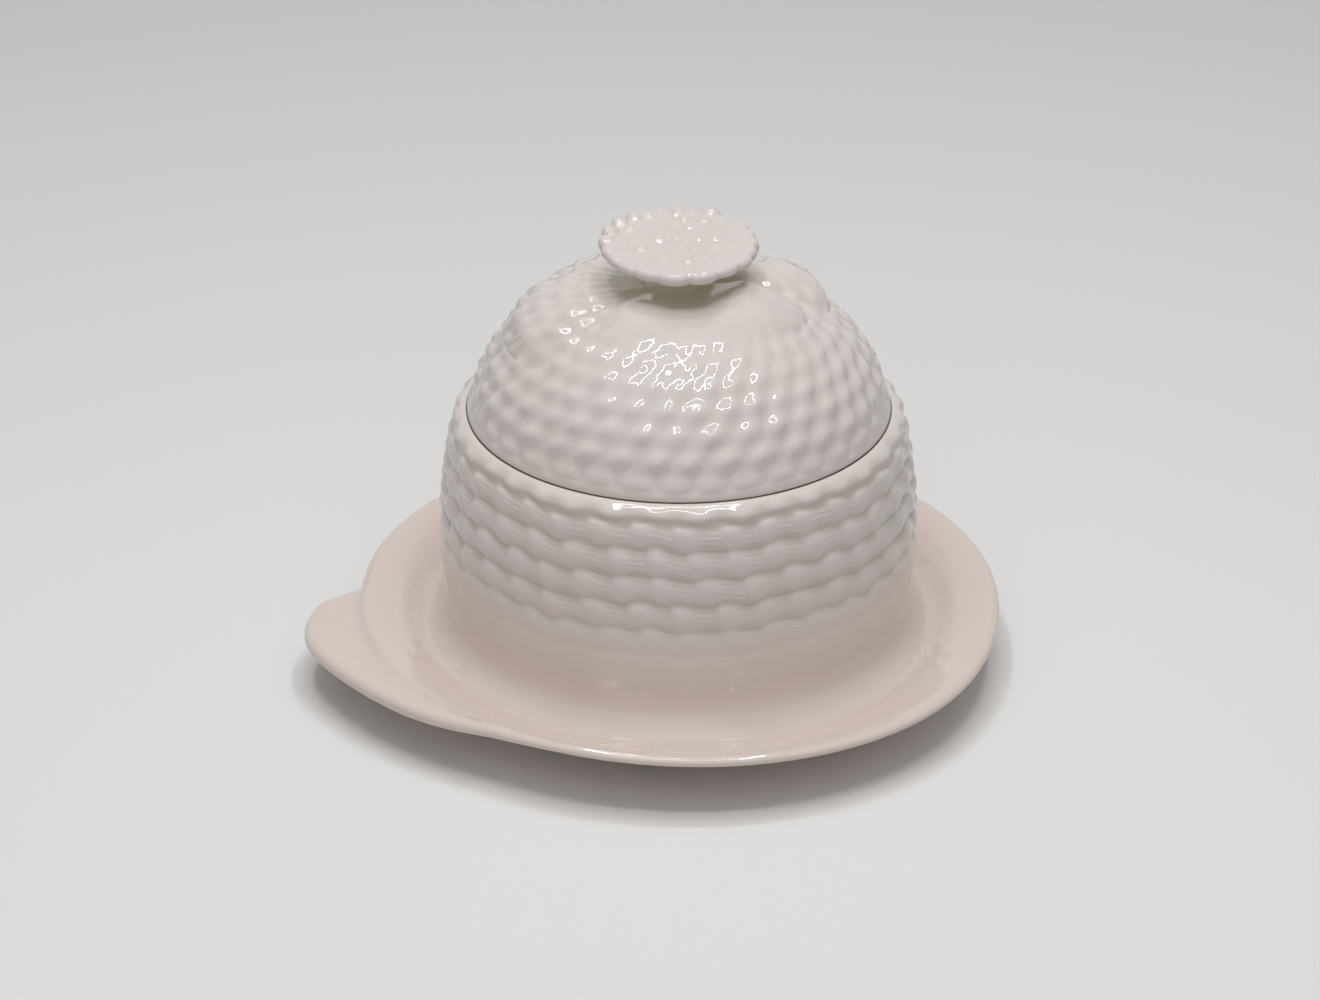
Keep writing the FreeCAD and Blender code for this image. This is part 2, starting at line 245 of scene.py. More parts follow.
def linkMix(tree, fac, first, second):
    mix = tree.nodes.new("ShaderNodeMix")
    mix.data_type = "RGBA"
    tree.links.new(fac, mix.inputs["Factor"])
    for value, socket in ((first, mix.inputs["A"]), (second, mix.inputs["B"])):
        if isinstance(value, tuple):
            socket.default_value = value
        else:
            tree.links.new(value, socket)
    return mix.outputs["Result"]


def linkRange(tree, value, fromLow, fromHigh, toLow, toHigh):
    ranged = tree.nodes.new("ShaderNodeMapRange")
    ranged.clamp = True
    ranged.interpolation_type = "SMOOTHSTEP"
    tree.links.new(value, ranged.inputs["Value"])
    ends = {"From Min": fromLow, "From Max": fromHigh, "To Min": toLow, "To Max": toHigh}
    for name, number in ends.items():
        ranged.inputs[name].default_value = number
    return ranged.outputs["Result"]


def linkNoise(tree, coords, scale, detail):
    noise = tree.nodes.new("ShaderNodeTexNoise")
    noise.inputs["Scale"].default_value = scale
    noise.inputs["Detail"].default_value = detail
    tree.links.new(coords, noise.inputs["Vector"])
    return noise.outputs["Fac"]


def linkTint(tree, name):
    tint = tree.nodes.new("ShaderNodeAttribute")
    tint.attribute_name = name
    return tint.outputs["Fac"]


def glazeMaterial(name, warmLow, warmHigh, warmShare, warm):
    material = bpy.data.materials.new(name)
    material.use_nodes = True
    tree = material.node_tree
    shader = tree.nodes["Principled BSDF"]
    coords = tree.nodes.new("ShaderNodeTexCoord").outputs["Object"]
    split = tree.nodes.new("ShaderNodeSeparateXYZ")
    tree.links.new(coords, split.inputs["Vector"])

    def noise(grain):
        return linkNoise(tree, coords, *glazeGrain[grain])

    # the body colour warms towards the foot, where on the pot it is also painted lighter for the light
    # the saucer throws up, and clouds a little
    warmthAndFootLight = linkRange(tree, split.outputs["Z"], warmLow * mm, warmHigh * mm, warmShare, 0)
    colour = linkMix(tree, warmthAndFootLight, glazeLook["cream"], glazeLook[warm])
    cloud = linkRange(tree, noise("cloud"), *glazeRange["cloud"])
    colour = linkMix(tree, cloud, colour, glazeLook["warm"])
    # painted shade darkens the hollows, the green glaze under the flower is painted lighter against its
    # shadow, and the seam stains
    for tint, tone in (("hollowShade", "shade"), ("poolAndPaintedLight", "poolAndPaintedLight"), ("seam", "seam")):
        share = linkRange(tree, linkTint(tree, tint), *glazeRange[tint])
        colour = linkMix(tree, share, colour, glazeLook[tone])
    # a few kiln specks
    cells = tree.nodes.new("ShaderNodeTexVoronoi")
    cells.inputs["Scale"].default_value = glazeSkin["speckCells"]
    tree.links.new(coords, cells.inputs["Vector"])
    both = tree.nodes.new("ShaderNodeMath")
    both.operation = "MULTIPLY"
    tree.links.new(linkRange(tree, cells.outputs["Distance"], *glazeRange["dots"]), both.inputs[0])
    tree.links.new(linkRange(tree, noise("patch"), *glazeRange["patch"]), both.inputs[1])
    colour = linkMix(tree, both.outputs["Value"], colour, glazeLook["speck"])
    tree.links.new(colour, shader.inputs["Base Color"])

    # the surface: wet gloss that is a little duller in patches, with slow waves and fine ripples
    tree.links.new(linkRange(tree, noise("gloss"), *glazeRange["gloss"]), shader.inputs["Roughness"])
    below = None
    for layer in ("waves", "ripples"):
        bump = tree.nodes.new("ShaderNodeBump")
        bump.inputs["Strength"].default_value = glazeSkin[layer][0]
        bump.inputs["Distance"].default_value = glazeSkin[layer][1] * mm
        tree.links.new(noise(layer), bump.inputs["Height"])
        if below:
            tree.links.new(below, bump.inputs["Normal"])
        below = bump.outputs["Normal"]
    tree.links.new(below, shader.inputs["Normal"])
    shader.inputs["IOR"].default_value = glazeSkin["ior"]
    return material


glazes = {name: glazeMaterial(name + "Glaze", *warmthAndFootLight) for name, warmthAndFootLight in glazeWarmthAndFootLight.items()}
print("glazes mixed")


# Pot
potShape = {
    "wall": {"core": 0, "width": 60.4, "rise": 86, "base": seatHeight + 25.5},
    "wallDepth": 5.5, "floor": 5, "floorFillet": 8,
    "footFlare": 6.0, "flareHeight": 13, "flareRings": 14, "flareSpread": 1.5, "flareFall": 2.6,
    "seatEdge": 52.75, "mouth": 48.5, "mouthRound": 0.4, "lipHeight": 4, "lipSlope": 3,
    "rimRound": 3.2, "rimBand": 3.9, "rimSlope": 1.3, "rimRings": 10,
    "steps": 9, "doublings": 6, "fineStep": 0.40, "coarseStep": 1.4,
    "stitches": 36, "rowPitch": 6.82, "rowShift": 0.30, "firstStitch": 0.35,
    "depth": 0.85, "reliefBase": 0.75, "fadeRow": 3.0, "lastRow": 5.7, "crease": 0.13,
    "rowSway": ((0.05, 9, 0.6), (0.04, 23, 2.1)), "stitchSway": ((0.05, 13, 0.4),),
    "stray": ((0.10, 5, 2.4),), "bandSway": ((0.8, 5, 0),),
    # the band under the rim is painted darker, as painted shade
    "bandSwell": 0.32, "bandCrease": 0.80, "bandShade": 0.5, "stainWidth": 1.6, "seatTint": 0.12,
    "swellRows": ((-0.55, -0.3), (-0.15, 0.0)), "bandShadeRows": ((-0.57, -0.4), (-0.15, 0.1)),
    "creaseRows": (-0.30, 0.0), "blendRows": (0.0, 0.16),
}
stitchForm = {
    "offset": -0.10, "lean": 0.15, "half": 0.45, "taper": 0.05, "round": 0.85,
    "knobEnd": 0.27, "farStart": 0.95, "farEnd": 0.22, "spineDrop": 0.48, "spineRun": (0.06, 0.55),
    "strandDepth": 0.10, "strandPitch": 0.185, "strandRun": (0.14, 0.34),
}


def stitchHeight(a, b):  # a runs right from knob to knob, b down from the row's middle
    form = stitchForm
    middle = form["offset"] + form["lean"] * a
    across = (b - middle) / (form["half"] - form["taper"] * np.clip(a, 0, 1))
    knobEnd = (np.clip(-a, 0, None) / form["knobEnd"]) ** 2
    farEnd = (np.clip(a - form["farStart"], 0, None) / form["farEnd"]) ** 2
    spine = 1 - form["spineDrop"] * softStep(*form["spineRun"], a) - knobEnd - farEnd
    strands = form["strandDepth"] * (1 - np.cos(fullTurn * (b - middle) / form["strandPitch"]))
    strands = strands * softStep(*form["strandRun"], a)
    return np.clip(spine - form["round"] * across ** 2 - strands, -1, 1)


def weave(shape, turn, row, wobble):  # relief, below 0 in a crease and about 1 on a knob
    heights = []
    for up in (-1, 0, 1):
        index = np.floor(row) + up
        u = turn * shape["stitches"] / fullTurn - shape["rowShift"] * index + shape["firstStitch"]
        u = u + waver(turn, shape["stray"], index) + wobble
        along = u - np.floor(u)
        for left in (-1, 0, 1):
            heights.append(stitchHeight(along + left, row - index - 0.5))
    return softUnion(heights, shape["crease"])


def makePot():
    shape = potShape
    wall = shape["wall"]
    inner = wallInside(wall, shape["wallDepth"])
    bandHeight = seamHeight - shape["rimBand"]
    shoulder = seamHeight - shape["rimRound"]
    weaveFoot = bandHeight - shape["rowPitch"] * shape["lastRow"]
    footEdge = radiusAtHeight(wall, seatHeight) + shape["footFlare"]

    points = [(0, seatHeight)] + lineRun((0, seatHeight), (footEdge, seatHeight), 4)
    for i in range(1, shape["flareRings"]):  # concave flare of the foot
        up = (i / shape["flareRings"]) ** shape["flareSpread"]
        z = seatHeight + shape["flareHeight"] * up
        flare = shape["footFlare"] * (1 - up) ** shape["flareFall"]
        points.append((radiusAtHeight(wall, z) + flare, z))
    first = len(points)
    heights = (seatHeight + shape["flareHeight"], weaveFoot, shoulder)
    low, middle, high = (angleAtHeight(wall, z) for z in heights)
    angles = wallRun(wall, low, middle, shape["coarseStep"])
    angles += wallRun(wall, middle, high, shape["fineStep"])[1:]
    points += wallPoints(wall, angles)
    last = len(points)
    # the rim rolls over right up to the edge of the lid
    roll = radiusAtHeight(wall, shoulder) - shape["seatEdge"]
    for i in range(1, shape["rimRings"] + 1):
        a = math.pi / 2 * i / shape["rimRings"]
        points.append((shape["seatEdge"] + roll * max(math.cos(a), 0) ** shape["rimSlope"],
                       shoulder + shape["rimRound"] * math.sin(a) ** shape["rimSlope"]))
    lip = len(points)
    mouth, soft = shape["mouth"], shape["mouthRound"]
    points += lineRun(points[-1], (mouth + soft, seamHeight), 3)
    points += arcRun((mouth + soft, seamHeight - soft), soft, 90, 180, 3)[1:]
    lipFloor = seamHeight - shape["lipHeight"]
    points += lineRun(points[-1], (mouth, lipFloor), 3)
    lipFoot = angleAtHeight(inner, lipFloor - shape["lipSlope"])
    points += lineRun(points[-1], wallPoints(inner, [lipFoot])[0], 3)
    floor = seatHeight + shape["floor"]
    fillet = shape["floorFillet"]
    low, high = angleAtHeight(inner, floor), math.pi / 2
    for i in range(50):  # where the floor's fillet touches the wall
        middle = (low + high) / 2
        z = wallAt(inner, middle)[1] - wallNormal(inner, middle)[1] * fillet
        low, high = (middle, high) if z < floor + fillet else (low, middle)
    points += wallPoints(inner, wallRun(inner, lipFoot, low, 4)[1:])
    normal = wallNormal(inner, low)
    centre = (points[-1][0] - normal[0] * fillet, points[-1][1] - normal[1] * fillet)
    start = math.degrees(math.atan2(normal[1], normal[0]))
    points += arcRun(centre, fillet, start, -90, 7)[1:]
    points += lineRun(points[-1], (0, floor), 5)

    pot, place, turn = spinProfile("hivePot", points, shape["steps"], shape["doublings"])
    radius, height = np.array(points)[place].T
    outside = (place >= first) & (place < lip)
    wallAngle = np.zeros(len(points))
    wallAngle[first:last] = angles
    wallAngle[last:lip] = angles[-1]
    normalR, normalZ = wallNormal(wall, wallAngle[place])
    # the rows aren't quite level, nor the stitches quite even
    row = (bandHeight - height) / shape["rowPitch"] + waver(turn, shape["rowSway"])
    wobble = waver(turn, shape["stitchSway"])
    fade = 1 - softStep(shape["fadeRow"], shape["lastRow"], row)
    relief = weave(shape, turn, np.maximum(row, 0), wobble) - shape["reliefBase"]
    # the band under the rim swells over each stitch and rolls into the first row
    swell = shape["bandSwell"] * np.cos(turn * shape["stitches"] + waver(turn, shape["bandSway"]))
    swell = swell * between(row, *shape["swellRows"])
    crease = swell - shape["bandCrease"] * softStep(*shape["creaseRows"], row)
    relief = crease + (relief - crease) * softStep(*shape["blendRows"], row)
    push = np.where(outside, shape["depth"] * fade * relief, 0)
    writeSpots(pot, radius + push * normalR, height + push * normalZ, turn)
    # painted shade: the weave's creases and the band under the rim are painted darker
    paintedBandShade = shape["bandShade"] * between(row, *shape["bandShadeRows"])
    hollowShade = np.clip(-push / shape["depth"] + paintedBandShade, 0, 1)
    seat = (height > seamHeight - 0.5) & (radius < shape["seatEdge"] + 0.1)
    stain = softStep(shape["seatEdge"] - shape["stainWidth"], shape["seatEdge"], radius)
    stain = shape["seatTint"] + (1 - shape["seatTint"]) * stain
    writeTints(pot, np.where(outside, hollowShade, 0), 0, np.where(seat, stain, 0))
    finishPiece(pot, glazes["pot"], "pot", ["hive_pot"])


makePot()


# Lid
lidShape = {
    "wall": {"core": 10, "width": 43, "rise": 37, "base": seamHeight - 4.5},
    "wallDepth": 5.2, "edgeRound": 0.35,
    "flange": 47.7, "flangeWall": 3, "flangeDepth": 5, "flangeRound": 0.6,
    "steps": 9, "doublings": 6, "fineStep": 0.5, "coarseStep": 0.9, "smoothRadius": 16,
    "knobs": 36, "rowPitch": 6.1, "rowShift": 0.56, "firstKnob": 0.1, "knobLean": 0.30,
    "knobWide": 0.39, "knobTall": 0.45, "depth": 1.32, "reliefBase": 0.85, "edgeFade": (0.12, 0.55),
    "rowSway": ((0.03, 7, 1.0),), "stray": ((0.07, 4, 1.9), (0.05, 11, 1)), "sizes": ((0.12, 17, 2.3),),
    "lowest": {"height": 0.78, "half": 0.47, "strandDepth": 0.05, "strandPitch": 0.21,
               "strandTall": 0.4, "strandHalf": 0.5, "strandRun": (-0.1, 0.2)},
    # smooth crown: radius at the front, how much less behind, degrees from the front between them
    "crown": 25, "crownLess": 8, "crownTurn": (50, 72), "crownFade": (-3, 7),
    "worn": 0.50, "wornTurn": (34, 58), "wornRing": (35, 45), "poolAndLightRing": (9, 21),
    "edgeStain": (2.5, 0.5), "edgeTint": (0.12, 0.90), "bareDepth": 0.15,
}


def lidClimb(angle):  # way up the dome from the lid's edge
    wall = lidShape["wall"]
    fine = np.linspace(angleAtHeight(wall, seamHeight + lidShape["edgeRound"]), math.pi / 2, 800)
    r, z = wallAt(wall, fine)
    run = np.concatenate([[0], np.cumsum(np.hypot(np.diff(r), np.diff(z)))])
    return np.interp(angle, fine, run)


def lidRelief(angle, turn):  # push of the woven knobs on the dome
    shape, lowest = lidShape, lidShape["lowest"]
    radius = wallAt(shape["wall"], angle)[0]
    row = lidClimb(angle) / shape["rowPitch"] + waver(turn, shape["rowSway"])
    relief = np.zeros(np.shape(row))
    for up in (-1, 0, 1):
        index = np.floor(row) + up
        u = turn * shape["knobs"] / fullTurn + shape["firstKnob"] - shape["rowShift"] * index
        u = u + waver(turn, shape["stray"], index)
        along = u - np.floor(u)
        b = row - index - 0.5
        tall = hill(b, shape["knobTall"])
        size = 1 + waver(turn, shape["sizes"], index)
        strands = lowest["strandDepth"] * np.cos(fullTurn * b / lowest["strandPitch"])
        strands = strands * hill(b, lowest["strandTall"], 4)
        for left in (-1, 0, 1):
            a = along + left - 0.5
            knob = size * tall * hill(a - shape["knobLean"] * b, shape["knobWide"])
            # the lowest row is woven like the pot
            fine = strands * softStep(*lowest["strandRun"], a) * hill(a, lowest["strandHalf"], 6)
            long = lowest["height"] * tall * hill(a, lowest["half"], 4) + fine
            relief = relief + np.where(index < 1, long, knob)
    # the smooth crown reaches furthest down at the front, and the glaze wears the knobs flat round it
    front = np.abs(turnGap(turn, 270))
    stop = shape["crown"] - shape["crownLess"] * softStep(*shape["crownTurn"], front)
    low, high = shape["crownFade"]
    fade = softStep(*shape["edgeFade"], row) * softStep(stop + low, stop + high, radius)
    worn = (1 - softStep(*shape["wornTurn"], front)) * (1 - softStep(*shape["wornRing"], radius))
    return shape["depth"] * fade * (1 - shape["worn"] * worn) * (relief - shape["reliefBase"])


def makeLid():
    shape = lidShape
    wall = shape["wall"]
    inner = wallInside(wall, shape["wallDepth"])
    edge = seamHeight + shape["edgeRound"]
    edgeRadius = radiusAtHeight(wall, edge)
    top = math.pi / 2
    points = [(0, crownHeight)] + lineRun((0, crownHeight), (wall["core"], crownHeight), 6)
    first = len(points) - 1
    smooth = angleAtRadius(wall, shape["smoothRadius"])
    angles = wallRun(wall, top, smooth, shape["coarseStep"])
    angles += wallRun(wall, smooth, angleAtHeight(wall, edge), shape["fineStep"])[1:]
    points += wallPoints(wall, angles[1:])
    last = len(points)
    points += arcRun((edgeRadius - shape["edgeRound"], edge), shape["edgeRound"], 0, -90, 5)[1:]
    flange, soft = shape["flange"], shape["flangeRound"]
    points += lineRun(points[-1], (flange, seamHeight), 2)
    foot = seamHeight - shape["flangeDepth"]
    points += lineRun(points[-1], (flange, foot + soft), 3)
    points += arcRun((flange - soft, foot + soft), soft, 0, -90, 3)[1:]
    inside = flange - shape["flangeWall"]
    points += lineRun(points[-1], (inside + soft, foot), 2)
    points += arcRun((inside + soft, foot + soft), soft, -90, -180, 3)[1:]
    hollowEdge = angleAtRadius(inner, inside)
    points += lineRun(points[-1], wallPoints(inner, [hollowEdge])[0], 3)
    points += wallPoints(inner, wallRun(inner, hollowEdge, top, 2.4)[1:])
    points += lineRun(points[-1], (0, points[-1][1]), 4)

    lid, place, turn = spinProfile("domeLid", points, shape["steps"], shape["doublings"])
    radius, height = np.array(points)[place].T
    outside = (place >= first) & (place < last)
    wallAngle = np.zeros(len(points))
    wallAngle[first:last] = angles
    normalR, normalZ = wallNormal(wall, wallAngle[place])
    push = np.where(outside, lidRelief(np.where(outside, wallAngle[place], 1.0), turn), 0)
    writeSpots(lid, radius + push * normalR, height + push * normalZ, turn)
    # painted shade in the creases between the knobs
    hollowShade = np.where(outside, np.clip(-push / shape["depth"] - shape["bareDepth"], 0, 1), 0)
    # the pool colour near the crown: green glaze, painted lighter against the flower's shadow
    poolAndPaintedLight = np.where(outside, 1 - softStep(*shape["poolAndLightRing"], radius), 0)
    rest = (height < edge - 0.25) & (radius > flange + 0.1)
    stain = softStep(edgeRadius - shape["edgeStain"][0], edgeRadius - shape["edgeStain"][1], radius)
    stain = shape["edgeTint"][0] + (shape["edgeTint"][1] - shape["edgeTint"][0]) * stain
    writeTints(lid, hollowShade, poolAndPaintedLight, np.where(rest, stain, 0))
    finishPiece(lid, glazes["lid"], "lid", ["lid"])


makeLid()


# Leaves on the crown
leafShape = {
    "acrossCuts": 120, "alongCuts": 84, "thickness": 1.4, "sharp": 75,
    "root": 7.6, "tipRound": 1.5, "overlap": 0.6, "sink": 0.14, "edgeSink": 0.5,
    "fallAcross": (0.4, 0.75), "borderRing": (12, 18), "borderShade": 0.6,
    "lumpRing": (17, 26), "lumpWaves": (21, 0.25, 0.95), "lumpSway": ((1.3, 7, 0),),
    # centre and half width in degrees, rise, lumps, share of the weave kept, rise across and outward
    "front": {"centre": 270, "half": 72, "rise": 3.1, "lumps": 0.0, "weave": 0.0,
              "across": ((-1, -0.70, -0.05, 0.66, 0.80, 0.97), (0, 0.70, 0.42, 1.25, 1.25, 0)),
              "along": {"low": 9, "crest": 18, "reach": 34, "root": 0.35, "fall": (1.7, 0.8)}},
    "right": {"centre": 31, "half": 58, "rise": 3.8, "lumps": 0.26, "weave": 0.30,
              "across": ((-1, -0.84, -0.46, -0.30, 0.0, 0.12, 0.50, 1),
                         (0, 0.0, 1, 1, 0.66, 0.50, 0.75, 0)),
              "along": {"low": 11, "crest": 33, "reach": 38.5, "root": 0.25, "fall": (0.6, 0.6)}},
    "left": {"centre": 149, "half": 58, "rise": 3.1, "lumps": 0.12, "weave": 0.80,
             "across": ((-1, -0.55, -0.22, 0.08, 0.55, 1), (0, 0.80, 0.55, 1, 0.70, 0)),
             "along": {"low": 12, "crest": 37, "reach": 43.5, "root": 0.15, "fall": (0.7, 0.7)}},
}


def makeLeaf(name, node):
    look = leafShape[name]
    wall = lidShape["wall"]
    bpy.ops.object.select_all(action="DESELECT")
    bpy.ops.mesh.primitive_grid_add(size=2 * mm, x_subdivisions=leafShape["acrossCuts"],
                                    y_subdivisions=leafShape["alongCuts"])
    leaf = bpy.context.object
    leaf.name = name + "Leaf"
    spots = readSpots(leaf)
    across, along = -spots[:, 0], (spots[:, 1] + 1) / 2
    outward = look["along"]
    reach = outward["reach"] - leafShape["tipRound"] * across ** 2
    radius = leafShape["root"] + (reach + leafShape["overlap"] - leafShape["root"]) * along
    turn = np.radians(look["centre"] + look["half"] * across)
    # a leaf rises from the stem to a crest, dips along its middle, and dies away into the weave
    climb = softStep(outward["low"], outward["crest"], radius)
    climb = outward["root"] + (1 - outward["root"]) * climb
    first, second = outward["fall"]
    steep = first + (second - first) * softStep(*leafShape["fallAcross"], across)
    fall = np.clip((reach - radius) / (reach - outward["crest"]), 0, 1) ** steep
    rise = look["rise"] * softCurve(across, *look["across"]) * climb * fall
    turns, slant, outs = leafShape["lumpWaves"]
    lump = np.sin(turn * turns + radius * slant) * np.sin(
        radius * outs + waver(turn, leafShape["lumpSway"]))
    cover = softStep(0, 0.8, rise)
    rise = rise + look["lumps"] * lump * cover * softStep(*leafShape["lumpRing"], radius)
    angle = np.arccos(np.clip((radius - wall["core"]) / wall["width"], 0, 1))
    r, z = wallAt(wall, angle)
    r = np.where(radius < wall["core"], radius, r)
    normalR, normalZ = wallNormal(wall, angle)
    ground = lidRelief(angle, turn) * (1 - (1 - look["weave"]) * cover)
    edge = np.maximum(np.abs(across), np.abs(2 * along - 1))
    push = ground + rise - leafShape["sink"] - leafShape["edgeSink"] * softStep(0.975, 1.0, edge)
    writeSpots(leaf, r + push * normalR, z + push * normalZ, turn)
    # painted shade where the leaf meets the weave and in its hollows; near the stem the green pool
    # colour, painted light against the flower's shadow
    border = between(rise, (0, 0.6), (0.8, 2.2)) * softStep(*leafShape["borderRing"], radius)
    hollowShade = leafShape["borderShade"] * border - ground / lidShape["depth"] - lidShape["bareDepth"]
    writeTints(leaf, np.clip(hollowShade, 0, 1), 1 - softStep(*lidShape["poolAndLightRing"], radius), 0)
    shell = leaf.modifiers.new("thickness", "SOLIDIFY")
    shell.thickness = leafShape["thickness"] * mm
    shell.offset = -1
    bpy.ops.object.modifier_apply(modifier=shell.name)
    finishPiece(leaf, glazes["knob"], "lid", [node], leafShape["sharp"])


makeLeaf("right", "leaf_1")
makeLeaf("left", "leaf_2")
makeLeaf("front", "leaf_3")


# Flower knob
stemShape = {
    "base": crownHeight - 0.6, "edge": crownHeight - 0.2, "rise": flowerBase - crownHeight + 0.5,
    "foot": 7.4, "waist": 5.6, "head": 8.0, "skirt": 1.2, "rings": 16, "steps": 6, "doublings": 4,
    "uneven": ((0.03, 3, 0.8), (0.02, 5, 0)), "poolAndPaintedLight": 0.8,
}
flowerShape = {
    "radius": 19.3, "steps": 5, "doublings": 6, "seed": 11, "sharp": 75,
    "topRings": 46, "rimRings": 14, "underRings": 12,
    "top": flowerTop - 2.2, "dish": 0.3, "tilt": 0.75, "thick": 2.5, "bullnose": 1.35,
    "uneven": ((0.25, 3, 0.5),), "swell": {"size": 0.9, "centre": 348, "span": 26},
    # beads of the rim: direction in degrees, width, step outward, height, depth of the notches
    "lobes": ((2, 4.4, 0.0, 0.7, 0.9), (20, 7.8, 0.0, 0.9, 1.0), (36, 3.4, -0.5, 0.6, 0.8),
              (50, 5.8, 0.4, 1.8, 1.7), (65, 3.4, -0.2, 0.9, 1.0), (77, 4.8, 0.1, 1.5, 1.5),
              (91, 4.0, -0.2, 1.0, 1.0), (103, 3.8, -0.1, 1.0, 1.1), (115, 4.6, 0.3, 1.6, 1.6),
              (131, 5.0, 0.5, 1.7, 1.8), (147, 4.8, 0.6, 1.6, 1.8), (163, 4.8, 0.4, 1.2, 1.5),
              (178, 4.6, 0.0, 0.7, 0.9), (193, 5.0, -0.2, 0.5, 0.7), (210, 5.6, -0.2, 0.4, 0.6),
              (229, 6.4, -0.2, 0.4, 1.2), (251, 7.4, 0.3, 0.35, 1.5), (275, 7.2, 0.2, 0.35, 1.4),
              (297, 6.2, -0.2, 0.35, 1.3), (316, 5.6, 0.2, 0.45, 1.4), (333, 5.0, -0.1, 0.5, 1.1),
              (348, 4.6, 0.1, 0.6, 1.2)),
    "rimInset": 1.6, "lobeShare": 0.53, "beadShare": 0.52, "beadInset": 2.1, "beadDepth": 2.6,
    # rings of florets inside the rim: number, radius, size, height, and how far each may stray
    "rings": ((16, 14.0, 2.9, 1.0), (11, 10.0, 2.9, 1.0), (7, 6.1, 2.8, 1.0), (3, 2.4, 2.6, 0.95)),
    "turnStray": 0.3, "ringStray": 0.9, "sizes": (0.7, 1.1), "heights": (0.6, 1.15),
    "roundness": 1.4, "union": 4, "hollowShadeLevel": 0.40,
}


def makeStem():
    shape = stemShape
    points = [(0, shape["base"]), (shape["foot"] + shape["skirt"], shape["base"])]
    for i in range(shape["rings"] + 1):
        t = i / shape["rings"]
        waist = math.sin(math.pi * t) ** 0.8
        straight = shape["foot"] * (1 - t) + shape["head"] * t
        radius = straight * (1 - waist) + shape["waist"] * waist
        points.append((radius + shape["skirt"] * (1 - t) ** 4, shape["edge"] + shape["rise"] * t))
    points.append((0, points[-1][1]))
    stem, place, turn = spinProfile("flowerStem", points, shape["steps"], shape["doublings"])
    radius, height = np.array(points)[place].T
    writeSpots(stem, radius * (1 + waver(turn, shape["uneven"])), height, turn)
    # the stem takes the pool colour, painted light against the flower's shadow
    writeTints(stem, 0, shape["poolAndPaintedLight"], 0)
    finishPiece(stem, glazes["knob"], "lid", ["flower_stem"])


def flowerLumps():  # florets inside the rim: direction, distance from the middle, size and height
    shape = flowerShape
    draw = np.random.default_rng(shape["seed"])
    lumps = []
    for count, ring, size, height in shape["rings"]:
        for i in range(count):
            angle = fullTurn * (i + draw.uniform(-shape["turnStray"], shape["turnStray"])) / count
            away = ring + draw.uniform(-shape["ringStray"], shape["ringStray"])
            lumps.append((angle, away, size * draw.uniform(*shape["sizes"]),
                          height * draw.uniform(*shape["heights"])))
    return lumps


def makeFlower():
    shape = flowerShape
    topRings, rimRings, underRings = shape["topRings"], shape["rimRings"], shape["underRings"]
    # a plain disc first, one ring to each place, which the flower's form then fills
    points = [(0, 3.0)] + lineRun((0, 3.0), (10, 3.0), topRings)
    points += lineRun((10, 3.0), (10, 2.0), rimRings) + lineRun((10, 2.0), (0, 1.0), underRings)
    flower, place, turn = spinProfile("flowerHead", points, shape["steps"], shape["doublings"])
    outer = np.full(len(place), shape["radius"] - shape["rimInset"])
    for direction, wide, out, high, notch in shape["lobes"]:
        off = np.radians(turnGap(turn, direction)) * shape["radius"] / (wide * shape["lobeShare"])
        lobe = notch * np.sqrt(np.clip(1 - off ** 2, 0, 1)) - notch
        outer = np.maximum(outer, shape["radius"] + out + lobe)
    share = np.clip(place / topRings, 0, 1)
    nose = shape["bullnose"]
    radius = (outer - nose) * share
    x, y = radius * np.cos(turn), radius * np.sin(turn)
    lean = shape["tilt"] * (y * math.cos(viewTurn) + x * math.sin(viewTurn)) / shape["radius"]
    florets = []
    for angle, ring, size, height in flowerLumps():
        away = np.hypot(x - ring * math.cos(angle), y - ring * math.sin(angle)) / size
        florets.append(height * np.clip(1 - away ** 2, 0, 1) ** shape["roundness"])
    for direction, wide, out, high, notch in shape["lobes"]:  # a round bead on each lobe
        middle = shape["radius"] + out - shape["beadInset"]
        off = np.radians(turnGap(turn, direction)) * middle / (wide * shape["beadShare"])
        inward = np.maximum(middle - radius, 0) / shape["beadDepth"]
        florets.append(high * np.clip(1 - off ** 2 - inward ** 2, 0, 1))
    lumps = sum(floret ** shape["union"] for floret in florets) ** (1 / shape["union"])
    crest = lumps * softStep(0.9, 1.0, share)
    top = shape["top"] - shape["dish"] * (1 - share ** 2) + lumps
    # the rim rolls over to the underside, which slopes in to the stem
    roll = math.pi * np.clip((place - topRings) / rimRings, 0, 1)
    under = np.clip((place - topRings - rimRings) / underRings, 0, 1)
    swell = shape["swell"]
    thick = shape["thick"] + crest + waver(turn, shape["uneven"])
    thick = thick + swell["size"] * hill(turnGap(turn, swell["centre"]), swell["span"])
    height = top + lean - thick / 2 * (1 - np.cos(roll))
    radius = radius + nose * np.sin(roll)
    radius = np.where(under > 0, (outer - nose) * (1 - under), radius)
    height = height + (flowerBase - height) * softStep(0.0, 0.62, under)
    writeSpots(flower, radius, height, turn)
    # painted shade between the florets
    hollowShade = np.where(place <= topRings, np.clip(shape["hollowShadeLevel"] - lumps, 0, 1), 0)
    # the underside takes the pool colour, painted light against the flower's own shadow
    writeTints(flower, hollowShade, np.where(under > 0, softStep(0.0, 0.3, under), 0), 0)
    finishPiece(flower, glazes["knob"], "lid",
                ["flower_disc", "outer_petals", "inner_petals", "flower_centre"], shape["sharp"])


makeStem()
makeFlower()


